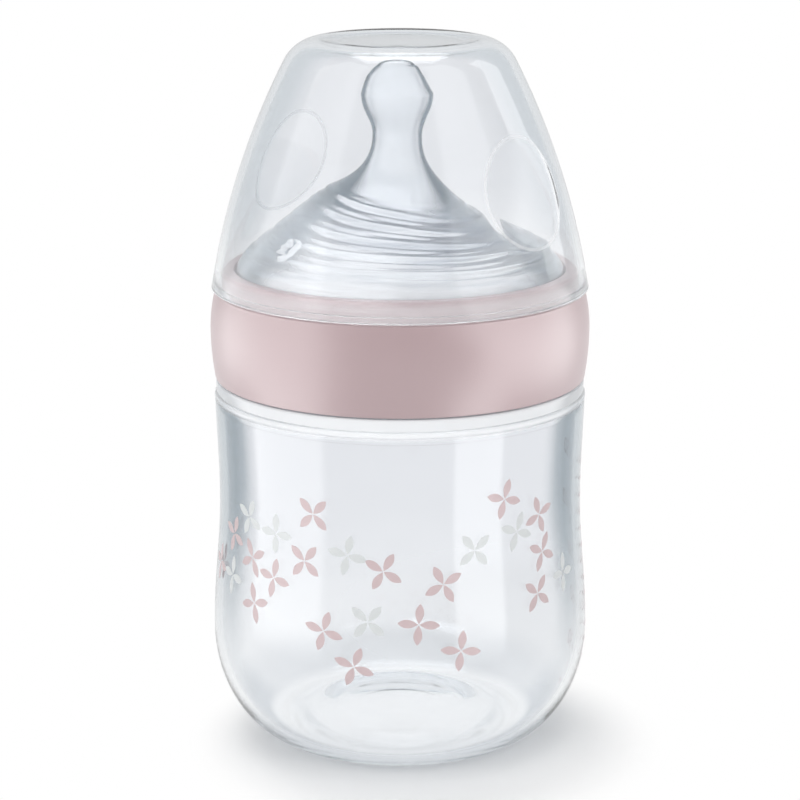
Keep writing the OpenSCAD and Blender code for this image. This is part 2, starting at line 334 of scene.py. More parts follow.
def without_doubles(points):
    return [p for i, p in enumerate(points) if i == 0 or math.dist(p, points[i - 1]) > 1e-4]


def wall_radius(m, z):
    """Radius of the bottle's outside, from the heel to the shoulder."""
    if z < m.belly_height:
        drop = (m.belly_height - z) / m.heel_depth
        return m.heel_centre + m.heel_width * math.sqrt(1 - drop * drop)
    if z < m.waist_height:
        return wave(m.belly_radius, m.waist_radius, (z - m.belly_height) / (m.waist_height - m.belly_height))
    return wave(m.waist_radius, m.bottle_radius, min(1, (z - m.waist_height) / m.shoulder_run))


def heel(m, start_radius, wall, floor, steps=36):
    width, depth = m.heel_width - wall, m.heel_depth - floor
    start = math.acos((start_radius - m.heel_centre) / width)
    turns = [-start * (1 - i / steps) for i in range(steps + 1)]
    return [(m.heel_centre + width * math.cos(a), m.belly_height + depth * math.sin(a)) for a in turns]


def side(m, thickness, top, steps=56):
    heights = [m.belly_height + (top - m.belly_height) * i / steps for i in range(1, steps + 1)]
    return [(wall_radius(m, z) - thickness, z) for z in heights]


def ridge(m, start, turn_degrees, z):
    """How much of a thread's depth stands at an angle and a height, from 0 to 1. start is above the ledge."""
    tallest = 0.0
    slope = (m.thread_base - m.thread_crest) / 2
    for turn in range(math.ceil(m.thread_turns)):
        along = turn_degrees / 360 + turn
        if along > m.thread_turns:
            continue
        away = abs(z - m.shoulder_height - start - m.thread_pitch * along)
        ends = clamp(min(along, m.thread_turns - along) / THREAD_RUN_OUT)
        tallest = max(tallest, clamp((m.thread_base / 2 - away) / slope) * smooth(ends))
    return tallest


# ---------------------------------------------------------------- meshes


def turned(profile, angles, shape):
    """Closed mesh of an outline that is turned about the axis. A point on the axis is a pole, and an outline
    that has none is a loop. shape(radius, height, angle, row) gives the place of each other point."""
    mesh = bmesh.new()
    around = len(angles)
    rows = []
    for row, (radius, height) in enumerate(profile):
        if radius < NOTHING:
            rows.append([mesh.verts.new((0, 0, height * MILLIMETRE))])
            continue
        ring = []
        for turn in angles:
            ring.append(mesh.verts.new(Vector(shape(radius, height, turn, row)) * MILLIMETRE))
        rows.append(ring)
    loop = len(rows[0]) > 1
    for low, high in zip(rows, rows[1:] + rows[:1] if loop else rows[1:]):
        for i in range(around):
            n = (i + 1) % around
            corners = [low[i % len(low)], low[n % len(low)], high[n % len(high)], high[i % len(high)]]
            mesh.faces.new(list(dict.fromkeys(corners)))
    if mesh.calc_volume(signed=True) < 0:
        bmesh.ops.reverse_faces(mesh, faces=mesh.faces)
    return mesh


def polar(radius, height, turn):
    a = math.radians(turn)
    return radius * math.cos(a), radius * math.sin(a), height


def even_angles(count):
    return [360 * i / count for i in range(count)]


def linked(name, data):
    piece = bpy.data.objects.new(name, data)
    bpy.context.scene.collection.objects.link(piece)
    return piece


def evaluated(piece):
    """Plain mesh of a piece as it comes out of its modifiers or its text. The piece goes."""
    seen = piece.evaluated_get(bpy.context.evaluated_depsgraph_get())
    data = bpy.data.meshes.new_from_object(seen)
    piece.modifiers.clear()
    bpy.data.objects.remove(piece)
    if not data.vertices:
        raise RuntimeError("a pattern or a number came out empty")
    mesh = bmesh.new()
    mesh.from_mesh(data)
    bpy.data.meshes.remove(data)
    return mesh


def finished(name, mesh, material, body, node=None, sharp=32.0):
    """Makes the object of a closed mesh: smooth, with its material, and riding on its body."""
    if any(not edge.is_manifold for edge in mesh.edges):
        raise RuntimeError(name + " isn't closed")
    data = bpy.data.meshes.new(name)
    mesh.to_mesh(data)
    mesh.free()
    data.shade_smooth()
    data.set_sharp_from_angle(angle=math.radians(sharp))
    data.materials.append(material)
    piece = linked(name, data)
    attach(piece, body)
    if node:
        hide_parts(node)


# ---------------------------------------------------------------- nodes


class Wire:
    """One output of a node. Maths on it adds the node that works it out."""

    def __init__(self, tree, socket):
        self.tree = tree
        self.socket = socket

    def out(self, name):
        return Wire(self.tree, self.socket.node.outputs[name])

    def maths(self, operation, *others):
        return add(self.tree, "ShaderNodeMath", {"operation": operation}, dict(enumerate((self, *others))))

    def __add__(self, other):
        return self.maths("ADD", other)

    def __sub__(self, other):
        return self.maths("SUBTRACT", other)

    def __rsub__(self, value):
        return add(self.tree, "ShaderNodeMath", {"operation": "SUBTRACT"}, {0: value, 1: self})

    def __mul__(self, other):
        return self.maths("MULTIPLY", other)

    def __truediv__(self, other):
        return self.maths("DIVIDE", other)

    __radd__ = __add__
    __rmul__ = __mul__


def add(tree, kind, settings=None, values=None):
    """Adds a node: its settings first, then its sockets' values or links. Gives its first shown output."""
    node = tree.nodes.new(kind)
    for key, value in (settings or {}).items():
        setattr(node, key, value)
    for key, value in (values or {}).items():
        socket = node.inputs[key]
        if isinstance(value, Wire):
            tree.links.new(value.socket, socket)
        else:
            socket.default_value = (*value, 1.0) if socket.type == "RGBA" else value
    shown = [output for output in node.outputs if output.enabled]
    return Wire(tree, shown[0]) if shown else None


def blank_material(name):
    material = bpy.data.materials.new(name)
    material.use_nodes = True
    material.node_tree.nodes.clear()
    return material, material.node_tree


def mixed(tree, factor, first, second):
    """Colour between two colours."""
    return add(tree, "ShaderNodeMix", {"data_type": "RGBA"}, {0: factor, 6: first, 7: second}).out(2)


def blended(tree, factor, first, second):
    """Shader between two shaders."""
    return add(tree, "ShaderNodeMixShader", {}, {0: factor, 1: first, 2: second})


def vector_maths(tree, operation, *vectors):
    return add(tree, "ShaderNodeVectorMath", {"operation": operation}, dict(enumerate(vectors)))


def sideways(tree, place):
    """The part of a place that lies level, away from the axis."""
    return vector_maths(tree, "MULTIPLY", place, (1, 1, 0))


def height_of(tree, place):
    return add(tree, "ShaderNodeSeparateXYZ", {}, {0: place}).out("Z")


def noise(tree, place, scale, detail):
    return add(tree, "ShaderNodeTexNoise", {}, {"Vector": place, "Scale": scale, "Detail": detail})


def eased(tree, value, low, high, start=0.0, end=1.0):
    """Number that eases from start to end while a value goes from low to high."""
    return add(tree, "ShaderNodeMapRange", {"interpolation_type": "SMOOTHSTEP"}, {
        "Value": value, "From Min": low, "From Max": high, "To Min": start, "To Max": end})


def eased_up(tree, place, low, high, start=0.0, end=1.0):
    """Number that eases from start to end between two heights in millimetres."""
    return eased(tree, height_of(tree, place), low * MILLIMETRE, high * MILLIMETRE, start, end)


# ---------------------------------------------------------------- clear plastic and silicone

# Colours where the plastic or silicone is milky, and the painted shade in the streaks of the teat's dome
MILK_COLOURS = ((0.90, 0.915, 0.935), (0.94, 0.95, 0.965))
MILK_STREAK_SHADE = (0.5, 0.55, 0.61)
CLEAR_STREAK_SHADE = (0.42, 0.48, 0.55)
# How much of the milk goes where a wall is seen edge on: in the milky band, which on the bottle's shoulder is
# painted light, and everywhere
BAND_FADE = 0.3
HAZE_FADE = 0.9
# Lamp light that a wall lets through, and at the foot, which gives way to the first between two heights
LET_THROUGH = (0.965, 0.972, 0.978)
LET_THROUGH_FOOT = (0.4, 0.415, 0.43)
FOOT_DIM_HEIGHTS = (1, 9)
# Depths under the thumb bar's surface, in millimetres, where the painted highlight around the hollows comes
# and goes, and its strength
OUTLINE_COMES = (0.03, 0.08)
OUTLINE_GOES = (0.14, 0.22)
OUTLINE_HIGHLIGHT = 0.3
# What the bottle and the cap share
MOULDED_CLEAR = {"ior": 1.49, "roughness": 0.02, "ripple": (0.00002, 0.03)}


def dome_streaks(tree, place, low, high, depth):
    """Relief of fine level lines that end between two heights in millimetres, and how much painted shade
    darkens them.
    """
    lines = noise(tree, vector_maths(tree, "MULTIPLY", place, (40, 40, 620)), 1.0, 3.0)
    below = eased_up(tree, place, low, high, 1.0, 0.0)
    return lines * below * depth, below * eased(tree, lines, 0.48, 0.62, 0.0, 0.5)


def foot_edge(tree, place, radii, heights):
    """1 on the wall low outside the foot, where grey shade is painted, and 0 inside the first radius and
    above the second height.
    """
    reach = vector_maths(tree, "LENGTH", sideways(tree, place)).out("Value")
    outside = eased(tree, reach, radii[0] * MILLIMETRE, radii[1] * MILLIMETRE)
    return outside * eased_up(tree, place, *heights, 1.0, 0.0)


def hollow_highlight(tree, place, turn, bar_out, bar_up, bar):
    """1 on a thin line of painted highlight around the two opposite hollows that a round bar leaves in a
    wall.
    """
    across = (math.cos(math.radians(turn)), math.sin(math.radians(turn)), 0)
    out = vector_maths(tree, "DOT_PRODUCT", place, across).out("Value").maths("ABSOLUTE") / MILLIMETRE
    up = height_of(tree, place) / MILLIMETRE - bar_up
    beyond = bar_out - (bar**2 - up * up).maths("SQRT") - out
    return eased(tree, beyond, *OUTLINE_COMES) * eased(tree, beyond, *OUTLINE_GOES, 1.0, 0.0)


def clear_material(name, depth, ior, roughness, ripple, tints, edge_shade_tints, tint_heights, edge_band, haze,
                   band, streaks=None, foot=None, hollows=None):
    """Clear plastic or silicone, coloured in its depth, faintly rippled by the mould, and lit through.

    depth: the colour it takes on, and its density for each metre
    ripple: height and width of the ripples in metres
    tints, edge_shade_tints: lower and upper colour seen square on, and lower and upper painted shade that
    darkens the colour where the wall is seen along
    tint_heights: heights between which the lower colours turn into the upper ones
    edge_band: how far along the wall it is seen where the painted edge shade begins and where it is full,
    from 0 to 1
    haze: how milky it is everywhere
    band: how much more milky it is between two heights, those heights, and the height over which that ends;
    on the bottle's shoulder this milky band is painted light
    streaks: what dome_streaks takes
    foot: what foot_edge takes, and the colour of the grey shade painted on the wall there
    hollows: what hollow_highlight takes
    """
    material, tree = blank_material(name)
    place = add(tree, "ShaderNodeTexCoord").out("Object")
    ripple_height, ripple_width = ripple
    flow = noise(tree, place, 1 / ripple_width, 2.0)
    relief = flow * ripple_height
    along = eased(tree, add(tree, "ShaderNodeLayerWeight", {}, {"Blend": 0.5}).out("Facing"), *edge_band)
    upper = eased_up(tree, place, *tint_heights)
    body = mixed(tree, upper * (0.94 + 0.06 * flow), *tints)
    # Painted shade: the colour darkens where the wall is seen edge on
    body = mixed(tree, along, body, mixed(tree, upper, *edge_shade_tints))
    cloudy = mixed(tree, flow, *MILK_COLOURS)
    if streaks:
        lines, dark = dome_streaks(tree, place, *streaks)
        relief = relief + lines
        # Painted shade along the dome's streak lines
        body = mixed(tree, dark, body, CLEAR_STREAK_SHADE)
        cloudy = mixed(tree, dark * 0.7, cloudy, MILK_STREAK_SHADE)
    if foot:
        radii, heights, foot_shade_colour = foot
        # Painted shade: grey on the wall low around the foot, strongest where the wall is seen edge on
        body = mixed(tree, foot_edge(tree, place, radii, heights) * (0.3 + 0.7 * along), body, foot_shade_colour)

    bump = add(tree, "ShaderNodeBump", {}, {"Strength": 1.0, "Distance": 1.0, "Height": relief})
    clear = add(tree, "ShaderNodeBsdfPrincipled", {}, {
        "Base Color": body, "Roughness": roughness * (0.8 + 0.4 * flow), "Normal": bump, "IOR": ior,
        "Transmission Weight": 1.0})
    white = add(tree, "ShaderNodeBsdfPrincipled", {}, {
        "Base Color": cloudy, "Roughness": 0.9, "Normal": bump, "Specular IOR Level": 0.0})
    more, low, high, ends = band
    # On the bottle this band is painted light: a white band at the shoulder under the ring
    milk = eased_up(tree, place, low, low + ends, 0.0, more)
    milk = milk * eased_up(tree, place, high - ends, high, 1.0, 0.0)
    milk = milk * (1 - along * BAND_FADE) + haze * (1 - along * HAZE_FADE)
    if hollows:
        # Painted highlight: a pale line around the thumb hollows
        milk = milk.maths("MAXIMUM", hollow_highlight(tree, place, *hollows) * OUTLINE_HIGHLIGHT)
    surface = blended(tree, milk, clear, white)

    lit_through = add(tree, "ShaderNodeBsdfTransparent", {}, {"Color": LET_THROUGH})
    if foot:
        dim = add(tree, "ShaderNodeBsdfTransparent", {}, {"Color": LET_THROUGH_FOOT})
        near_foot = eased_up(tree, place, *FOOT_DIM_HEIGHTS, 1.0, 0.0)
        lit_through = blended(tree, near_foot, lit_through, dim)
    shadow = add(tree, "ShaderNodeLightPath").out("Is Shadow Ray")
    add(tree, "ShaderNodeOutputMaterial", {}, {
        "Surface": blended(tree, shadow, surface, lit_through),
        "Volume": add(tree, "ShaderNodeVolumeAbsorption", {}, {"Color": depth[0], "Density": depth[1]})})
    return material


def bottle_plastic(m, finishes):
    """Clear, with a band of painted light at the shoulder, painted grey shade around the foot, and painted
    shade where the wall is seen edge on.
    """
    return clear_material(
        "clear_bottle_plastic", (finishes.clear_depth, finishes.clear_density), **MOULDED_CLEAR,
        tints=((0.955, 0.965, 0.975), (0.885, 0.895, 0.917)),
        edge_shade_tints=((0.95, 0.962, 0.972), (0.30, 0.36, 0.40)),
        tint_heights=(5, 45), edge_band=(0.45, 0.61),
        # The shoulder's milky band is painted light
        haze=0.0, band=(0.8, m.wall_top - 1.0, m.shoulder_height + 2.2, 1.6),
        foot=((m.foot_radius + 0.6, m.foot_radius + 2.6), (4.5, 11), (0.56, 0.60, 0.645)))


def teat_silicone(m, finishes):
    """Hazy, with painted shade at its edge, and with fine level streaks on the dome that carry painted shade.
    """
    crown = m.collar_top + m.dome_rise
    return clear_material(
        "clear_silicone_rubber", (finishes.silicone_depth, finishes.silicone_density),
        ior=1.41, roughness=0.04, ripple=(0.00004, 0.012),
        tints=((0.98, 0.98, 0.98), (0.985, 0.985, 0.985)),
        edge_shade_tints=((0.46, 0.52, 0.56), (0.08, 0.12, 0.15)),
        tint_heights=(crown - 3, crown + 2), edge_band=(0.32, 0.54),
        haze=finishes.nipple_haze, band=(finishes.dome_haze - finishes.nipple_haze, 0, crown + 2, 6.0),
        streaks=(crown - 3, crown + 1, 0.0006))


def cap_plastic(m, finishes, hollows):
    """Clear, with a slightly milky rim, painted shade where the wall is seen edge on, and a fine painted
    highlight around the thumb hollows.
    """
    rim_top = m.cap_bottom + m.rim_band
    return clear_material(
        "clear_cap_plastic", (finishes.clear_depth, finishes.clear_density), **MOULDED_CLEAR,
        tints=((0.97, 0.975, 0.98), (0.89, 0.90, 0.92)),
        edge_shade_tints=((0.86, 0.89, 0.91), (0.70, 0.745, 0.775)),
        tint_heights=(rim_top, rim_top + 15), edge_band=(0.27, 0.62),
        haze=0.0, band=(0.18, 0, rim_top + 3, 2.0), hollows=hollows)


# ---------------------------------------------------------------- pink plastic and ink


def ring_material(finishes):
    """Satin pink plastic with a very fine mould grain and faint clouds in its colour."""
    material, tree = blank_material("pink_ring_plastic")
    place = add(tree, "ShaderNodeTexCoord").out("Object")
    cloud = noise(tree, place, 55.0, 4.0)
    grain = noise(tree, place, 2600.0, 2.0)
    pink = tuple(finishes.ring_pink)
    deep = tuple(0.955 * channel for channel in pink)
    bump = add(tree, "ShaderNodeBump", {}, {"Strength": 0.35, "Distance": 0.00004, "Height": grain})
    surface = add(tree, "ShaderNodeBsdfPrincipled", {}, {
        "Base Color": mixed(tree, cloud, deep, pink), "Roughness": 0.36 + 0.1 * grain, "Normal": bump,
        "IOR": 1.5, "Coat Weight": 1.0, "Coat Roughness": 0.38, "Coat IOR": 1.75})
    add(tree, "ShaderNodeOutputMaterial", {}, {"Surface": surface})
    return material


def ink_material(name, tint):
    """Printed ink: even colour that is a little thin in places, and a paler colour painted as light on its
    inner face, seen through the wall.
    """
    material, tree = blank_material(name)
    texture = add(tree, "ShaderNodeTexCoord")
    place = texture.out("Object")
    outward = vector_maths(tree, "NORMALIZE", sideways(tree, place))
    facing = vector_maths(tree, "DOT_PRODUCT", outward, texture.out("Normal")).out("Value")
    speckle = noise(tree, place, 1800.0, 3.0)
    thin = tuple(channel + (0.9 - channel) * 0.14 for channel in tint)
    # Painted light: the inner face, seen through the wall, is paler so that the print's unlit back doesn't go
    # dark
    painted_backlight = tuple(min(1.55 * channel, 0.95) for channel in tint)
    ink = mixed(tree, facing.maths("LESS_THAN", -0.5), mixed(tree, speckle, tint, thin), painted_backlight)
    surface = add(tree, "ShaderNodeBsdfPrincipled", {}, {
        "Base Color": ink, "Roughness": 0.28 + 0.12 * speckle, "IOR": 1.5})
    add(tree, "ShaderNodeOutputMaterial", {}, {"Surface": surface})
    return material


# ---------------------------------------------------------------- bottle


def bottle_base(m, inner_heel_end):
    """Underside from the axis to the foot, and the inside of the base from the heel's end to the axis."""
    foot_inner = m.foot_radius - m.foot_width
    disc = m.base_disc_radius
    floor = m.base_rise + m.base_wall
    disc_step, disc_soft, soft_steps = 0.3, 4.0, 12
    low = floor - disc_step
    under = curve((0, m.base_rise), (disc, m.base_rise), (foot_inner - 7, 0.1), (foot_inner, 0), 36)
    heel_pull = (foot_inner - 3, inner_heel_end[1] - 0.1)
    inside = curve(inner_heel_end, heel_pull, (disc + 5, low), (disc, low), 28)
    for i in range(1, soft_steps + 1):
        inside.append((disc - disc_soft * i / soft_steps, wave(low, floor, i / soft_steps)))
    return under, inside + fine([(disc - disc_soft, floor), (0, floor)], 2)


def bottle_outline(m):
    inner_heel = heel(m, m.foot_radius - m.foot_width / 2, m.bottle_wall, m.base_wall)
    under, base_inside = bottle_base(m, inner_heel[0])
    band_radius, band_round = m.bottle_radius - m.band_inset, 0.5
    groove_height, groove_depth = 0.3, 0.02
    rim = 0.35
    rim_foot = m.rim_height - rim
    inner_top = m.wall_top - m.bottle_wall
    inner_radius = m.bottle_radius - m.bottle_wall
    inner_shoulder = curve(
        (inner_radius, inner_top), (inner_radius, inner_top + 2 * m.bottle_wall),
        (m.neck_bore, inner_top + m.bottle_wall), (m.neck_bore, m.shoulder_height))
    return without_doubles(
        under + [(m.foot_radius, 0)] + heel(m, m.foot_radius, 0, 0) + side(m, 0, m.wall_top)
        + arc((m.bottle_radius - m.shoulder_round, m.wall_top), m.shoulder_round, 0, 75)
        + [(band_radius - groove_depth, m.wall_top + m.shoulder_round + groove_height)]
        + arc((band_radius - band_round, m.shoulder_height - band_round), band_round, 0, 90)
        + fine([(m.neck_radius, m.shoulder_height), (m.neck_radius, rim_foot)], 0.3)
        + arc((m.neck_radius - rim, rim_foot), rim, 0, 90, 5)
        + arc((m.neck_bore + rim, rim_foot), rim, 90, 180, 5)
        + fine([(m.neck_bore, rim_foot), (m.neck_bore, m.shoulder_height)], 1.2)
        + inner_shoulder[::-1] + side(m, m.bottle_wall, inner_top)[::-1] + inner_heel[::-1] + base_inside)


class BABYBOTTLE_OT_bottle(bpy.types.Operator):
    """Makes the clear bottle with its foot, shoulder, neck and thread"""

    bl_idname = "babybottle.bottle"
    bl_label = "Bottle"

    def execute(self, context):
        m = measures(context.scene)

        def shape(radius, height, turn, row):
            if abs(radius - m.neck_radius) < NOTHING and height < m.rim_height:
                radius += m.thread_depth * ridge(m, m.thread_start, turn, height)
            return polar(radius, height, turn)

        mesh = turned(bottle_outline(m), even_angles(288), shape)
        plastic = bottle_plastic(m, context.scene.finishes)
        finished("bottle", mesh, plastic, "bottle", "bottle_body")
        return {"FINISHED"}


# ---------------------------------------------------------------- screw ring


def ring_outline(m):
    edge, soft = m.ring_edge, 0.2
    foot_radius = m.ring_radius - m.ring_foot_inset
    foot_edge_top = m.ring_bottom + edge / 2
    belly = m.ring_bottom + m.ring_belly_height
    top_radius = m.ring_radius - m.ring_top_inset
    top_edge_foot = m.ledge_height - edge
    step = m.ledge_height - m.bore_step
    bore_top = step - m.ring_bore + m.collar_bore
    barrel = []
    for i in range(37):
        t = i / 36
        barrel.append((m.ring_radius - m.ring_foot_inset * (1 - t) ** 2,
                       foot_edge_top + (m.ring_belly_height - edge / 2) * t))
    for i in range(1, 25):
        t = i / 24
        barrel.append((m.ring_radius - m.ring_top_inset * t * t, belly + (top_edge_foot - belly) * t))
    return without_doubles(
        [(m.ring_bore, m.ring_bottom + soft)]
        + arc((m.ring_bore + soft, m.ring_bottom + soft), soft, 180, 270, 4)
        + arc((foot_radius - edge / 2, foot_edge_top), edge / 2, -90, 0, 6)
        + barrel + arc((top_radius - edge, top_edge_foot), edge, 0, 90, 8)
        + arc((m.collar_radius + soft, m.ledge_height + soft), soft, -90, -180, 4)
        + arc((m.collar_radius - edge, m.collar_top - edge), edge, 0, 90, 8)
        + arc((m.lip_radius + soft, m.collar_top - soft), soft, 90, 180, 4)
        + [(m.lip_radius, m.lip_bottom), (m.collar_bore, m.lip_bottom), (m.collar_bore, step)]
        + fine([(m.ring_bore, bore_top), (m.ring_bore, m.ring_bottom + 2 * soft)], 0.3))


class BABYBOTTLE_OT_ring(bpy.types.Operator):
    """Makes the screw ring with its collar, lip and inner thread"""

    bl_idname = "babybottle.ring"
    bl_label = "Screw ring"

    def execute(self, context):
        m = measures(context.scene)
        side_gap = (m.thread_base + m.thread_crest) / 2 + m.turning_gap
        depth = m.ring_bore - m.neck_radius - m.turning_gap

        def shape(radius, height, turn, row):
            if abs(radius - m.ring_bore) < NOTHING:
                radius -= depth * ridge(m, m.thread_start - side_gap, turn, height)
            return polar(radius, height, turn)

        mesh = turned(ring_outline(m), even_angles(288), shape)
        finished("ring", mesh, ring_material(context.scene.finishes), "ring", "screw_ring")
        return {"FINISHED"}


# ---------------------------------------------------------------- teat


def teat_outline(m, inset, parts):
    """Outline of the teat from the foot of its dome to the feed hole, moved inwards by a wall's thickness."""
    base = m.collar_top - inset
    crown = (m.crown_radius - inset / 2, m.collar_top + m.dome_rise - inset)
    slim = (m.nipple_neck_radius - inset, m.teat_top - m.nipple_length)
    wide = (m.nipple_radius - inset, m.wide_height)
    top = m.teat_top - inset
    points = curve((m.dome_radius - inset, base), (m.dome_radius - 0.9 - inset, base + 3.2),
                   (crown[0] + 8.5, crown[1] - 5.7), crown, 3 * parts)
    points += curve(crown, (crown[0] - 3.6, crown[1] + 2.4), (slim[0], slim[1] - 5.4), slim, parts)
    points += curve(slim, (slim[0] - 0.2, slim[1] + 3.2), (wide[0], wide[1] - 3.4), wide, parts)
    last = math.degrees(math.acos(m.feed_hole_radius / wide[0]))
    for i in range(1, parts + 1):
        a = math.radians(last * i / parts)
        u = math.sin(a)
        flat = 1 - 0.13 * math.sin(math.pi * u)
        points.append((wide[0] * math.cos(a) * flat, wide[1] + (top - wide[1]) * u))
    points[-1] = (m.feed_hole_radius, points[-1][1])
    return without_doubles(points)


def teat_rows(m):
    """The teat's closed outline in three runs: its flange, its outside, and its inside down to the flange."""
    edge, soft, foot = 0.25, 0.3, 0.2
    flange_top = m.rim_height + m.flange_thickness
    flange_edge = m.flange_radius - edge
    flange = (arc((flange_edge, m.rim_height + edge), edge, -90, 0, 4)
              + arc((flange_edge, flange_top - edge), edge, 0, 90, 4)
              + [(m.dome_radius + soft, flange_top), (m.dome_radius, flange_top + soft)])
    bore = m.dome_radius - m.teat_wall
    inside = teat_outline(m, m.teat_wall, 14)[::-1]
    return flange, teat_outline(m, 0, 34), inside + [(bore, m.rim_height + foot), (bore + foot, m.rim_height)]


def outward_normals(outline):
    normals = []
    for i, before in enumerate(outline[-1:] + outline[:-1]):
        after = outline[(i + 1) % len(outline)]
        run, rise = after[0] - before[0], after[1] - before[1]
        size = math.hypot(run, rise)
        normals.append((rise / size, -run / size))
    return normals


def dome_relief(m, along, turn, off):
    """How far the dome's wavy ridges, which wind up it like a thread, and its air valve stand out. along is
    the way up the dome, and off is 1 on the valve's lip."""
    ridge_count, plain_foot = 6.4, 1.5
    band = smooth((along - plain_foot) / 2) * smooth((m.ridge_pitch * ridge_count - along) / 4)
    if band == 0:
        return 0.0
    rad = math.radians(turn)
    wander, steepness, fine_height, fine_steepness = 0.1, 2.6, 0.3, 3
    phase = along / m.ridge_pitch + turn / 360 + wander * math.sin(3 * rad)
    crest = 0.5 + 0.5 * math.tanh(steepness * math.sin(2 * math.pi * phase))
    fine_wave = math.sin(4 * math.pi * phase + 0.9 * math.sin(5 * rad))
    crest += fine_height * math.tanh(fine_steepness * fine_wave)
    fade = 0.62 + 0.38 * math.cos(2 * rad + 0.5 + along * 0.22)
    ridges = m.ridge_height * crest * fade * band * smooth((off - 1.2) / 0.8)
    lip_height, hollow_depth, button_height = 0.6, 0.4, 0.3
    valve_lip = lip_height * math.exp(-(((off - 1) / 0.2) ** 2))
    valve_hollow = hollow_depth * smooth((0.8 - off) / 0.3)
    valve_button = button_height * math.exp(-((off / 0.22) ** 2))
    return ridges + valve_lip - valve_hollow + valve_button


def leant(m, radius, height, turn):
    """Place of a point of the teat: the dome leans, and the nipple is flattened, bowed and slanted."""
    rad = math.radians(turn)
    dome_top = m.rim_height + m.dome_rise
    slim_height = m.teat_top - m.nipple_length
    flat = 1 - (1 - m.nipple_flatness) * clamp((height - dome_top) / (m.wide_height - dome_top))
    x, y = radius * math.cos(rad), radius * flat * math.sin(rad)

    lean_radius, lean_inwards, lean_outwards = 14.5, 7.5, 8.5
    lean_width = lean_outwards if radius > lean_radius else lean_inwards
    lean = m.dome_lean * math.exp(-(((radius - lean_radius) / lean_width) ** 2))
    if height > slim_height:
        lean *= clamp(1 - (height - slim_height) / 4)
    z = height - lean * math.cos(rad) * smooth((height - m.collar_top + 1) / 3)

    neck_shift, bow, head_shift, tip_shift, tip_slant = 0.5, 0.45, 0.25, 1.5, 0.45
    up = clamp((height - m.wide_height) / (m.teat_top - m.wide_height))
    tip = clamp((up - 0.8) / 0.2)
    centre = head_shift * up + tip_shift * tip * tip
    centre -= neck_shift * smooth((height - dome_top) / 10) + bow * math.sin(math.pi * up)
    return x + centre, y, z - tip_slant * tip * x


class BABYBOTTLE_OT_teat(bpy.types.Operator):
    """Makes the silicone teat: leaning ridged dome, slanted nipple, feed hole and air valve"""

    bl_idname = "babybottle.teat"
    bl_label = "Teat"

    def execute(self, context):
        m = measures(context.scene)
        flange, outside, inside = teat_rows(m)
        outline = flange + outside + inside
        first, last = len(flange), len(flange) + len(outside) - 1
        normals = outward_normals(outline)
        way = [0.0]
        for a, b in zip(outline, outline[1:]):
            way.append(way[-1] + math.dist(a, b))
        valve_row = min(range(first, last), key=lambda row: abs(outline[row][0] - m.valve_radius))
        valve_turn, valve_width, valve_length = FRONT - m.valve_angle, 1.6, 2.1

        def shape(radius, height, turn, row):
            if first <= row <= last:
                beside = math.radians((turn - valve_turn + 180) % 360 - 180) * radius
                off = math.hypot(beside / valve_width, (way[row] - way[valve_row]) / valve_length)
                lift = dome_relief(m, way[row] - way[first], turn, off)
                radius += normals[row][0] * lift
                height += normals[row][1] * lift
            return leant(m, radius, height, turn)

        mesh = turned(outline, even_angles(270), shape)
        silicone = teat_silicone(m, context.scene.finishes)
        finished("teat_skin", mesh, silicone, "teat", "teat", sharp=50)
        return {"FINISHED"}


# ---------------------------------------------------------------- cap


def cap_outline(m, inset):
    """Outline of the cap from its rim to the middle of its top, moved inwards by a wall's thickness."""
    start = math.degrees(math.asin((m.cap_bottom - m.side_centre[1]) / (m.side_curve - inset)))
    edge_x, top = m.edge_centre[0], m.cap_top - inset
    dish_radius, dish = edge_x - 3.4, top - m.dish_depth
    return without_doubles(
        arc(m.side_centre, m.side_curve - inset, start, m.edge_start, 130)
        + arc(m.edge_centre, m.edge_radius - inset, m.edge_start, 84, 20)
        + curve((edge_x + 0.4, top), (edge_x - 1.2, top), (dish_radius + 1.4, dish), (dish_radius, dish), 14)
        + fine([(dish_radius, dish), (0, dish)], 2))


def cap_rows(m):
    """The cap's whole outline, down its outside and up its inside, and the number of its first row inside."""
    outside, inside = cap_outline(m, 0), cap_outline(m, m.cap_wall)
    rim_inner, rim_top = m.collar_radius + m.turning_gap, m.cap_bottom + m.rim_band
    soft, bevel = 0.25, 0.15
    edge = arc((outside[0][0] - soft, m.cap_bottom + soft), soft, -90, 0, 4)
    rim = [(rim_inner + bevel, m.cap_bottom), (rim_inner, m.cap_bottom + bevel), (rim_inner, rim_top - soft),
           (inside[0][0] - soft, rim_top)]
    outside = [p for p in outside if p[1] > m.cap_bottom + soft]
    inside = [p for p in inside if p[1] > rim_top + soft]
    return outside[::-1] + edge[::-1] + rim + inside, len(outside) + len(edge)


def thumb_bar(m):
    """Distance out and height of the round bar that leaves the thumb hollows in the cap's side."""
    height = m.cap_bottom + m.thumb_height
    slope = math.asin((height - m.side_centre[1]) / m.side_curve)
    reach = m.thumb_curve - m.thumb_depth
    return m.side_centre[0] + (m.side_curve + reach) * math.cos(slope), height + reach * math.sin(slope)


def cap_angles(thumb_turns):
    """Angles around the cap, closer together across the thumb hollows."""
    half_width, near_step, far_step = 23, 0.6, 2.0
    angles = [0.0]
    while True:
        away = min(abs((angles[-1] - turn + 180) % 360 - 180) for turn in thumb_turns)
        following = angles[-1] + (near_step if away < half_width else far_step)
        if following >= 359.9:
            return angles
        angles.append(following)


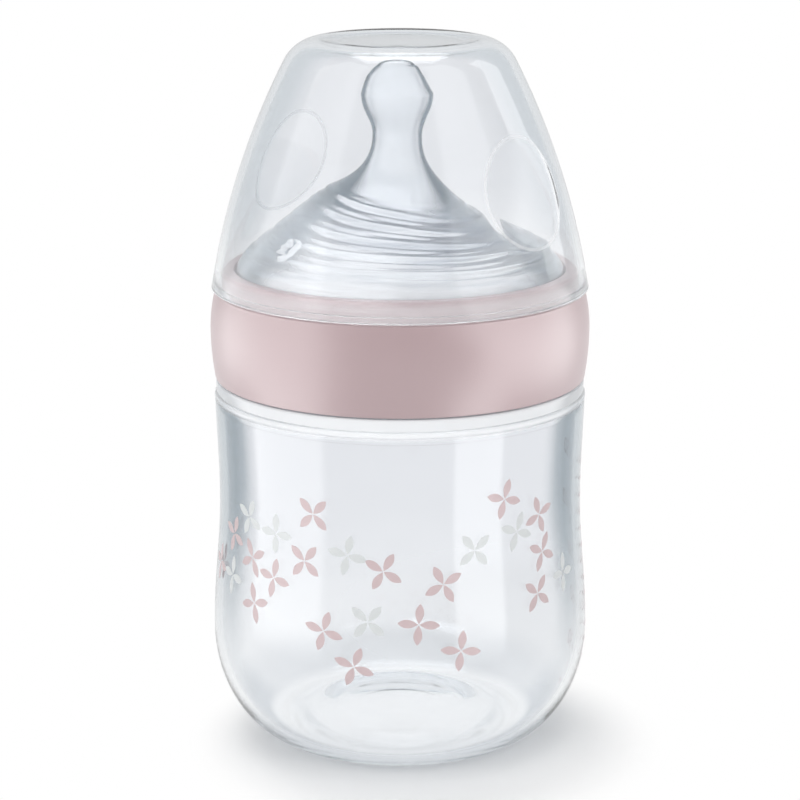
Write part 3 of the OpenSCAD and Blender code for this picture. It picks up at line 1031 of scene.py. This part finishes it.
class BABYBOTTLE_OT_cap(bpy.types.Operator):
    """Makes the clear cap with its dished top and two thumb hollows"""

    bl_idname = "babybottle.cap"
    bl_label = "Cap"

    def execute(self, context):
        m = measures(context.scene)
        outline, first_inside = cap_rows(m)
        bar_out, bar_up = thumb_bar(m)
        thumb_turns = [FRONT + m.thumb_angle, FRONT + m.thumb_angle - 180]

        def shape(radius, z, turn, row):
            bar = m.thumb_curve + (m.cap_wall if row >= first_inside else 0)
            if abs(z - bar_up) < bar and radius > 10:
                for thumb_turn in thumb_turns:
                    off = math.cos(math.radians(turn - thumb_turn))
                    if off > 0.6:
                        cut = (bar_out - math.sqrt(bar * bar - (z - bar_up) ** 2)) / off
                        radius = soft_min(radius, cut, m.thumb_round)
            return polar(radius, z, turn)

        mesh = turned(outline, cap_angles(thumb_turns), shape)
        plastic = cap_plastic(m, context.scene.finishes, (thumb_turns[0], bar_out, bar_up, m.thumb_curve))
        finished("cap", mesh, plastic, "cap", "protective_cap")
        return {"FINISHED"}


# ---------------------------------------------------------------- print

# Blossoms on the bottle's wall: direction from the front in degrees, height in millimetres, turn in degrees
PINK_BLOSSOMS = [
    (-27, 49.2, 45), (-30, 40.5, 40), (-23, 28.6, 15), (-13.5, 22.8, 20), (5.5, 30.6, 5), (18, 25.4, 8),
    (-41.5, 36.2, 10), (-51.5, 38.5, 62), (-49.5, 30.5, 75), (-63, 41.2, 20), (33, 51.4, 15), (47.5, 47, 70),
    (49, 40, 25), (46, 32.8, 38), (-5, 40, 30), (13, 37.5, 62), (-75, 34, 10)]
PALE_BLOSSOMS = [
    (-53.5, 45.7, 25), (-41, 44.3, 2), (-9.5, 31, 40), (38, 45, 20), (60, 34.5, 3), (-63, 33.5, 5),
    (-16, 42.5, 12), (23, 43, 50)]


def flat_points(name, rows, m):
    """Loose points of a flat pattern, from rows of direction in degrees, height, and the point's size."""
    data = bpy.data.meshes.new(name)
    across = math.radians(1) * m.bottle_radius * MILLIMETRE
    data.from_pydata([(row[0] * across, row[1] * MILLIMETRE, 0) for row in rows], [], [])
    data.attributes.new("size", "FLOAT", "POINT").data.foreach_set("value", [row[2] for row in rows])
    return linked(name, data)


def grown(piece, tree, values):
    """Plain mesh that a node tree makes of a piece's points."""
    modifier = piece.modifiers.new("pattern", "NODES")
    modifier.node_group = tree
    for item in tree.interface.items_tree:
        if item.name in values:
            modifier[item.identifier] = values[item.name]
    return evaluated(piece)


def group_with(name, inputs):
    """Empty geometry tree with its named inputs, and the wire of each."""
    tree = bpy.data.node_groups.new(name, "GeometryNodeTree")
    tree.interface.new_socket("Geometry", in_out="INPUT", socket_type="NodeSocketGeometry")
    for label, kind in inputs.items():
        tree.interface.new_socket(label, in_out="INPUT", socket_type=kind)
    tree.interface.new_socket("Geometry", in_out="OUTPUT", socket_type="NodeSocketGeometry")
    start = add(tree, "NodeGroupInput")
    return tree, {label: start.out(label) for label in ["Geometry", *inputs]}


def thickened(tree, sheet, thickness):
    """Closed plate of a flat sheet."""
    raised = add(tree, "GeometryNodeExtrudeMesh", {}, {
        "Mesh": sheet, "Offset Scale": thickness, "Individual": False})
    under = add(tree, "GeometryNodeFlipFaces", {}, {"Mesh": sheet})
    both = add(tree, "GeometryNodeJoinGeometry")
    for part in (under, raised):
        tree.links.new(part.socket, both.socket.node.inputs[0])
    return add(tree, "GeometryNodeMergeByDistance", {}, {"Geometry": both, "Distance": WELD * MILLIMETRE})


def on_points(tree, points, unit, placing):
    """Real mesh of a unit on each point. placing turns or stretches it."""
    spread = add(tree, "GeometryNodeInstanceOnPoints", {}, {"Points": points, "Instance": unit, **placing})
    return add(tree, "GeometryNodeRealizeInstances", {}, {0: spread})


def vector(tree, *parts):
    return add(tree, "ShaderNodeCombineXYZ", {}, dict(enumerate(parts)))


def point_size(tree):
    return add(tree, "GeometryNodeInputNamedAttribute", {"data_type": "FLOAT"}, {"Name": "size"})


def end_tree(tree, mesh, material):
    painted = add(tree, "GeometryNodeSetMaterial", {}, {"Geometry": mesh, "Material": material})
    add(tree, "NodeGroupOutput", {}, {0: painted})
    return tree


def blossom_tree():
    """Tree that sets a blossom of four pointed petals on each point, turned by the point's size."""
    tree, wires = group_with("blossoms", {"Petal length": "NodeSocketFloat", "Petal width": "NodeSocketFloat",
                                          "Thickness": "NodeSocketFloat", "Material": "NodeSocketMaterial"})
    grid = add(tree, "GeometryNodeMeshGrid", {}, {
        "Size X": 1.0, "Size Y": 1.0, "Vertices X": 4, "Vertices Y": 11})
    apart = add(tree, "ShaderNodeSeparateXYZ", {}, {0: add(tree, "GeometryNodeInputPosition")})
    along = apart.out("Y") + 0.5
    bulge = along * (1 - along) * 4 * (0.8 + 0.35 * along)
    across = apart.out("X") * bulge * wires["Petal width"]
    outward = (along * 0.97 + 0.03) * wires["Petal length"]
    place = vector(tree, across, outward)
    petal = add(tree, "GeometryNodeSetPosition", {}, {"Geometry": grid, "Position": place})
    petal = thickened(tree, petal, wires["Thickness"])
    centre = add(tree, "GeometryNodePoints", {}, {"Count": 4})
    quarter_turns = add(tree, "GeometryNodeInputIndex") * (math.pi / 2)
    blossom = on_points(tree, centre, petal, {"Rotation": vector(tree, 0.0, 0.0, quarter_turns)})
    turn = vector(tree, 0.0, 0.0, point_size(tree) * -math.radians(1))
    return end_tree(tree, on_points(tree, wires["Geometry"], blossom, {"Rotation": turn}), wires["Material"])


def tick_tree():
    """Tree that sets one line of the scale on each point, as long as the point's size in millimetres."""
    tree, wires = group_with("scale_ticks", {"Line": "NodeSocketFloat", "Thickness": "NodeSocketFloat",
                                             "Material": "NodeSocketMaterial"})
    grid = add(tree, "GeometryNodeMeshGrid", {}, {
        "Size X": MILLIMETRE, "Size Y": wires["Line"], "Vertices X": 3, "Vertices Y": 2})
    plate = thickened(tree, grid, wires["Thickness"])
    longer = vector(tree, point_size(tree), 1.0, 1.0)
    return end_tree(tree, on_points(tree, wires["Geometry"], plate, {"Scale": longer}), wires["Material"])


def wrapped(mesh, m, turn=0.0):
    """Lays a flat pattern on the bottle's wall: x runs round it, y is the height and z the thickness."""
    for vert in mesh.verts:
        x, y, z = vert.co / MILLIMETRE
        radius = wall_radius(m, y) + z - m.ink_sunk
        a = math.radians(turn) + x / m.bottle_radius
        vert.co = Vector((radius * math.sin(a), -radius * math.cos(a), y)) * MILLIMETRE
    return mesh


class BABYBOTTLE_OT_blossoms(bpy.types.Operator):
    """Prints the pink and the pale blossoms on the bottle"""

    bl_idname = "babybottle.blossoms"
    bl_label = "Blossoms"

    def execute(self, context):
        m = measures(context.scene)
        finishes = context.scene.finishes
        tree = blossom_tree()
        for name, slot, rows, tint in (
                ("blossoms_pink", "pink_print", PINK_BLOSSOMS, finishes.print_pink),
                ("blossoms_pale", "pale_print", PALE_BLOSSOMS, finishes.print_pale)):
            ink = ink_material(name + "_ink", tuple(tint))
            mesh = grown(flat_points(name, rows, m), tree, {
                "Petal length": m.petal_length * MILLIMETRE, "Petal width": m.petal_width * MILLIMETRE,
                "Thickness": m.ink_thickness * MILLIMETRE, "Material": ink})
            finished(name, wrapped(mesh, m), ink, "bottle")
        return {"FINISHED"}


# The scale: length of a numbered line and of one between, a line's width, and how far right the numbers start
LONG_LINE = 5.0
SHORT_LINE = 2.4
LINE_WIDTH = 0.45
DIGITS_START = 6.0
LINES_A_NUMBER = 3
# Type size for one unit of a digit's height, and upright strips that a number is cut into so that it can bend
DIGIT_SIZE = 1.4
DIGIT_STRIPS = 8
CUBIC_MILLIMETRES = 1000  # in a millilitre


def fill_height(m, millilitres):
    """Height to which that much milk fills the bottle."""
    held, z, step = 0.0, m.base_rise + m.base_wall, 0.05
    while held < millilitres * CUBIC_MILLIMETRES:
        held += math.pi * (wall_radius(m, z) - m.bottle_wall) ** 2 * step
        z += step
    return z


def digits(text, height, thickness, place):
    """Closed flat mesh of a number, with its left end and its middle height at a place."""
    font = bpy.data.curves.new("digits", "FONT")
    font.body = text
    font.size = DIGIT_SIZE * height * MILLIMETRE
    font.extrude = thickness / 2 * MILLIMETRE
    font.resolution_u = 4
    font.align_y = "CENTER"
    mesh = evaluated(linked("digits", font))
    bmesh.ops.remove_doubles(mesh, verts=mesh.verts, dist=WELD * MILLIMETRE)
    for vert in mesh.verts:
        vert.co += Vector((*place, thickness / 2)) * MILLIMETRE
    low, high = min(v.co.x for v in mesh.verts), max(v.co.x for v in mesh.verts)
    for i in range(1, DIGIT_STRIPS):
        everything = list(mesh.verts) + list(mesh.edges) + list(mesh.faces)
        cut = (low + (high - low) * i / DIGIT_STRIPS, 0, 0)
        bmesh.ops.bisect_plane(mesh, geom=everything, dist=1e-7, plane_co=cut, plane_no=(1, 0, 0))
    return mesh


class BABYBOTTLE_OT_scale(bpy.types.Operator):
    """Prints the filling scale with its lines and numbers"""

    bl_idname = "babybottle.scale"
    bl_label = "Scale"

    def execute(self, context):
        m = measures(context.scene)
        ink = ink_material("scale_ink", tuple(context.scene.finishes.print_pink))
        rows, numbers = [], []
        for line in range(1, m.mark_count * LINES_A_NUMBER + 1):
            height = fill_height(m, m.mark_step * line / LINES_A_NUMBER)
            numbered = line % LINES_A_NUMBER == 0
            reach = LONG_LINE if numbered else SHORT_LINE
            rows.append((math.degrees(reach / 2 / m.bottle_radius), height, reach))
            if numbered:
                numbers.append((str(m.mark_step * line // LINES_A_NUMBER), height))
        mesh = grown(flat_points("scale_lines", rows, m), tick_tree(), {
            "Line": LINE_WIDTH * MILLIMETRE, "Thickness": m.ink_thickness * MILLIMETRE, "Material": ink})
        for text, height in numbers:
            data = bpy.data.meshes.new("number")
            digits(text, m.digit_height, m.ink_thickness, (DIGITS_START, height)).to_mesh(data)
            mesh.from_mesh(data)
            bpy.data.meshes.remove(data)
        finished("scale", wrapped(mesh, m, m.scale_angle), ink, "bottle", sharp=20)
        return {"FINISHED"}


# ---------------------------------------------------------------- stage


# Softboxes: direction from the front towards +X, distance, height, width, tallness in metres, and brightness
SOFTBOXES = {
    "left_softbox": (-52, 1.1, 0.45, 0.95, 1.3, 1.05),
    "right_softbox": (52, 1.1, 0.45, 0.9, 1.3, 0.9),
    "top_softbox": (180, 0.35, 1.4, 0.9, 0.7, 1.6),
}
SOFTBOX_AIM = Vector((0, 0, 0.06))
# Cards, which show only in gloss or only through clear plastic: rows of height in metres, share of the
# brightness, and first and last direction from the front towards +X
GLOSS_CARDS = {
    "left_card": [
        (0.0, 0.0, -37, -90), (0.012, 0.85, -37, -90), (0.042, 0.85, -37, -90), (0.047, 0.6, -30, -120),
        (0.08, 0.6, -30, -120), (0.1, 0.5, -37, -95), (0.115, 0.45, -37, -90), (0.3, 0.45, -37, -90)],
    "right_card": [
        (0.0, 0.0, 26, 58), (0.012, 0.95, 26, 58), (0.042, 0.95, 26, 58), (0.047, 0.75, 36, 112),
        (0.08, 0.75, 36, 112), (0.1, 0.5, 26, 75), (0.115, 0.45, 26, 70), (0.3, 0.45, 26, 70)],
    "hollow_card": [(0.085, 0.0, 86.4, 110), (0.09, 0.65, 86.4, 110), (0.22, 0.65, 86.4, 110)],
}
THROUGH_CARDS = {
    "nipple_left_card": [
        (0.086, 0.0, -70, 8), (0.092, 0.95, -70, 8), (0.112, 0.95, -70, 8), (0.128, 0.0, -70, 8)],
    "nipple_right_card": [
        (0.086, 0.0, 10, 66), (0.092, 0.5, 10, 66), (0.102, 0.5, 10, 66), (0.108, 0.0, 10, 66)],
}
CARD_DISTANCE = 0.1
CARD_STEPS = 30
GLOSS_CARD_SOFT_STEPS = 4
THROUGH_CARD_SOFT_STEPS = 9
# Floor: middle of the bottle's shadow, and distances from it between which the floor turns white
SHADOW_MIDDLE = (0.005, -0.009, 0)
SHADOW_REACH = (0.028, 0.044)
# A patch behind the bottle that looks darker through clear plastic: its middle, radii and brightness
PATCH_MIDDLE = (0.036, 0.062, 0)
PATCH_REACH = (0.012, 0.05)
PATCH_BRIGHTNESS = 0.2
FLOOR_IN_GLOSS = 0.5
ROOM_IN_GLOSS = 0.4
WHITE = (1, 1, 1)


def round_bottle(distance, turn, height):
    """Place at a distance and a direction from the front towards +X."""
    a = math.radians(turn)
    return distance * math.sin(a), -distance * math.cos(a), height


def floor_material(settings):
    """Pale floor that looks white to the camera away from the bottle and keeps its shadow near it."""
    material, tree = blank_material("pale_floor")
    path = add(tree, "ShaderNodeLightPath")
    place = add(tree, "ShaderNodeTexCoord").out("Object")
    away = eased(tree, vector_maths(tree, "DISTANCE", place, SHADOW_MIDDLE).out("Value"), *SHADOW_REACH)
    patch = vector_maths(tree, "DISTANCE", place, PATCH_MIDDLE).out("Value")
    beside = eased(tree, patch, *PATCH_REACH, PATCH_BRIGHTNESS, 1.0)
    grain = noise(tree, place, 300.0, 3.0)
    pale = settings.floor_shade
    board = add(tree, "ShaderNodeBsdfPrincipled", {}, {
        "Base Color": mixed(tree, grain, (pale,) * 3, (pale * 1.01,) * 3), "Roughness": 0.9})
    white = add(tree, "ShaderNodeEmission", {}, {"Color": WHITE, "Strength": 1.0})
    seen = path.out("Is Camera Ray").maths("MAXIMUM", path.out("Is Glossy Ray") * FLOOR_IN_GLOSS)
    shown_white = (seen * away).maths("MAXIMUM", path.out("Is Transmission Ray") * beside)
    add(tree, "ShaderNodeOutputMaterial", {}, {"Surface": blended(tree, shown_white, board, white)})
    return material


def make_floor(settings):
    mesh = bmesh.new()
    bmesh.ops.create_grid(mesh, x_segments=8, y_segments=8, size=6.0)
    data = bpy.data.meshes.new("floor")
    mesh.to_mesh(data)
    mesh.free()
    data.materials.append(floor_material(settings))
    linked("floor", data)


def make_softbox(name, brightness, turn, distance, height, width, tall, part):
    """Rectangular lamp turned to the bottle. Only the top one shows in gloss and through clear plastic."""
    lamp = bpy.data.lights.new(name, "AREA")
    lamp.shape = "RECTANGLE"
    lamp.size = width
    lamp.size_y = tall
    lamp.energy = brightness * part * width * tall * math.pi
    box = linked(name, lamp)
    box.location = round_bottle(distance, turn, height)
    box.rotation_euler = (SOFTBOX_AIM - box.location).to_track_quat("-Z", "Y").to_euler()
    box.visible_glossy = box.visible_transmission = name == "top_softbox"


def card_material(name, brightness):
    """Glow that is as strong as the card's fade attribute says, and clear where that is 0."""
    material, tree = blank_material(name)
    fade = add(tree, "ShaderNodeAttribute", {"attribute_name": "fade"}).out("Fac")
    glow = add(tree, "ShaderNodeEmission", {}, {"Color": WHITE, "Strength": brightness})
    clear = add(tree, "ShaderNodeBsdfTransparent")
    add(tree, "ShaderNodeOutputMaterial", {}, {"Surface": blended(tree, fade, clear, glow)})
    return material


def make_card(name, rows, brightness, through):
    """Bright curved card around the bottle, soft at its ends, that shows only in gloss or only through."""
    strongest = max(part for height, part, start, end in rows)
    soft_steps = THROUGH_CARD_SOFT_STEPS if through else GLOSS_CARD_SOFT_STEPS
    points, faces, fades = [], [], []
    for i in range(CARD_STEPS + 1):
        for height, part, start, end in rows:
            points.append(round_bottle(CARD_DISTANCE, start + (end - start) * i / CARD_STEPS, height))
            fades.append(part / strongest * smooth(min(i, CARD_STEPS - i) / soft_steps))
    for i in range(CARD_STEPS):
        for k in range(len(rows) - 1):
            corner = i * len(rows) + k
            faces.append((corner, corner + 1, corner + len(rows) + 1, corner + len(rows)))
    data = bpy.data.meshes.new(name)
    data.from_pydata(points, [], faces)
    data.attributes.new("fade", "FLOAT", "POINT").data.foreach_set("value", fades)
    data.materials.append(card_material(name, brightness * strongest))
    card = linked(name, data)
    card.visible_camera = card.visible_diffuse = card.visible_shadow = False
    card.visible_glossy = not through
    card.visible_transmission = through


def make_room(scene, fill):
    """White to the camera and through clear plastic, less so in gloss, and a dim light otherwise."""
    scene.world = bpy.data.worlds.new("room")
    scene.world.use_nodes = True
    tree = scene.world.node_tree
    tree.nodes.clear()
    path = add(tree, "ShaderNodeLightPath")
    seen = path.out("Is Camera Ray").maths("MAXIMUM", path.out("Is Transmission Ray"))
    seen = seen.maths("MAXIMUM", path.out("Is Glossy Ray") * ROOM_IN_GLOSS)
    light = add(tree, "ShaderNodeBackground", {}, {"Color": WHITE, "Strength": seen * (1 - fill) + fill})
    add(tree, "ShaderNodeOutputWorld", {}, {"Surface": light})


def make_camera(scene, settings):
    lens = bpy.data.cameras.new("camera")
    lens.sensor_width = 36.0
    lens.lens = settings.camera_lens / MILLIMETRE
    lens.clip_start = 0.01
    lens.clip_end = 30.0
    camera = linked("camera", lens)
    camera.location = (0, -settings.camera_distance, settings.camera_height)
    camera.rotation_euler = (math.pi / 2 - settings.camera_pitch, 0, 0)
    scene.camera = camera


class BABYBOTTLE_OT_stage(bpy.types.Operator):
    """Makes the floor, the softboxes, the cards, the room and the camera"""

    bl_idname = "babybottle.stage"
    bl_label = "Stage"

    def execute(self, context):
        scene = context.scene
        settings = scene.studio_settings
        make_floor(settings)
        for name, place_and_size in SOFTBOXES.items():
            make_softbox(name, settings.box_brightness, *place_and_size)
        for cards, through in ((GLOSS_CARDS, False), (THROUGH_CARDS, True)):
            for name, rows in cards.items():
                make_card(name, rows, settings.card_brightness, through)
        make_room(scene, settings.fill_brightness)
        make_camera(scene, settings)
        scene.view_settings.view_transform = "Standard"
        scene.cycles.max_bounces = 40
        scene.cycles.glossy_bounces = 24
        scene.cycles.transmission_bounces = 40
        return {"FINISHED"}


# ---------------------------------------------------------------- panel and run


class BABYBOTTLE_PT_panel(bpy.types.Panel):
    """Lists the pieces of the bottle and their sizes"""

    bl_idname = "BABYBOTTLE_PT_panel"
    bl_label = "Baby bottle"
    bl_space_type = "VIEW_3D"
    bl_region_type = "UI"
    bl_category = "Baby bottle"

    def draw(self, context):
        for operator in OPERATORS:
            self.layout.operator(operator.bl_idname)
        for group in SIZE_GROUPS:
            box = self.layout.box()
            values = getattr(context.scene, group)
            for key in keys_of(values):
                box.prop(values, key)


OPERATORS = [
    BABYBOTTLE_OT_stage, BABYBOTTLE_OT_bottle, BABYBOTTLE_OT_ring, BABYBOTTLE_OT_teat, BABYBOTTLE_OT_cap,
    BABYBOTTLE_OT_blossoms, BABYBOTTLE_OT_scale]


def register():
    for part in (*SIZE_GROUPS.values(), *OPERATORS, BABYBOTTLE_PT_panel):
        bpy.utils.register_class(part)
    for key, group in SIZE_GROUPS.items():
        setattr(bpy.types.Scene, key, PointerProperty(type=group))


def unregister():
    for key in SIZE_GROUPS:
        delattr(bpy.types.Scene, key)
    for part in (BABYBOTTLE_PT_panel, *reversed(OPERATORS), *reversed(SIZE_GROUPS.values())):
        bpy.utils.unregister_class(part)


def main():
    register()
    for operator in OPERATORS:
        group, name = operator.bl_idname.split(".")
        getattr(getattr(bpy.ops, group), name)()


if __name__ == "__main__":
    main()
